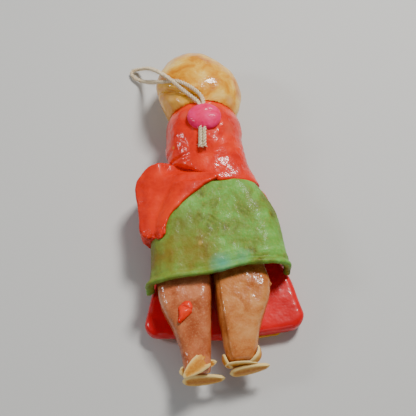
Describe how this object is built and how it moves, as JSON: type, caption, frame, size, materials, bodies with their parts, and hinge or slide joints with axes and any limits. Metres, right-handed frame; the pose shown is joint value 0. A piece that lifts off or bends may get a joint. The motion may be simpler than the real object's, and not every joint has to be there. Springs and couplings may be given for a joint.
{
  "type": "clay doll ornament with hanging loop",
  "caption": "Hand-modelled varnished clay folk doll with headpiece, scarf, cloak, skirt and seed shoes, hung from a twine loop fixed to the back of its head.",
  "frame": {"origin": "on the table under the middle of the doll, which lies on its front", "axes": "+X to the right seen from behind, +Y from feet to headpiece, +Z out of the doll's back"},
  "size_m": [0.0573, 0.1337, 0.0297],
  "materials": {
    "red_clay": "gloss varnish",
    "yellow_clay": "gloss varnish",
    "orange_clay": "gloss varnish",
    "brown_clay": "gloss varnish over speckled clay",
    "white_clay": "gloss varnish",
    "green_clay": "gloss varnish over mottled paint",
    "cream_clay": "gloss varnish over marbled clay",
    "pink_clay": "satin",
    "seed": "dry seed husk under varnish",
    "toothpick": "plain wood",
    "twine": "natural twine"
  },
  "bodies": {
    "figure": {"skirt": "red_clay", "skirt_trim": "yellow_clay", "torso": "orange_clay", "left_leg": "brown_clay", "right_leg": "brown_clay", "head": "brown_clay", "nose": "brown_clay", "eyes": "white_clay", "lips": "red_clay", "head_scarf": "orange_clay", "scarf_drape": "orange_clay", "left_sleeve": "orange_clay", "right_sleeve": "orange_clay", "right_hand": "brown_clay", "cloak": "green_clay", "hat_base": "cream_clay", "hat_crown": "cream_clay", "clay_dab": "orange_clay", "cord_button": "pink_clay", "left_sole_seed": "seed", "left_heel_seed": "seed", "left_instep_seed": "seed", "right_sole_seed": "seed", "right_heel_seed": "seed", "right_outer_seed": "seed", "right_inner_seed": "seed", "neck_stick": "toothpick", "left_leg_stick": "toothpick", "right_leg_stick": "toothpick", "cord_tails": "twine"},
    "hanging_loop": {"cord_loop": "twine"}
  },
  "joints": [
    {"name": "loop_lift", "type": "hinge", "parent": "figure", "child": "hanging_loop", "pos_m": [-0.00082, 0.0347, 0.02615], "axis": [1, 0, 0], "range_deg": [0, 75]}
  ]
}
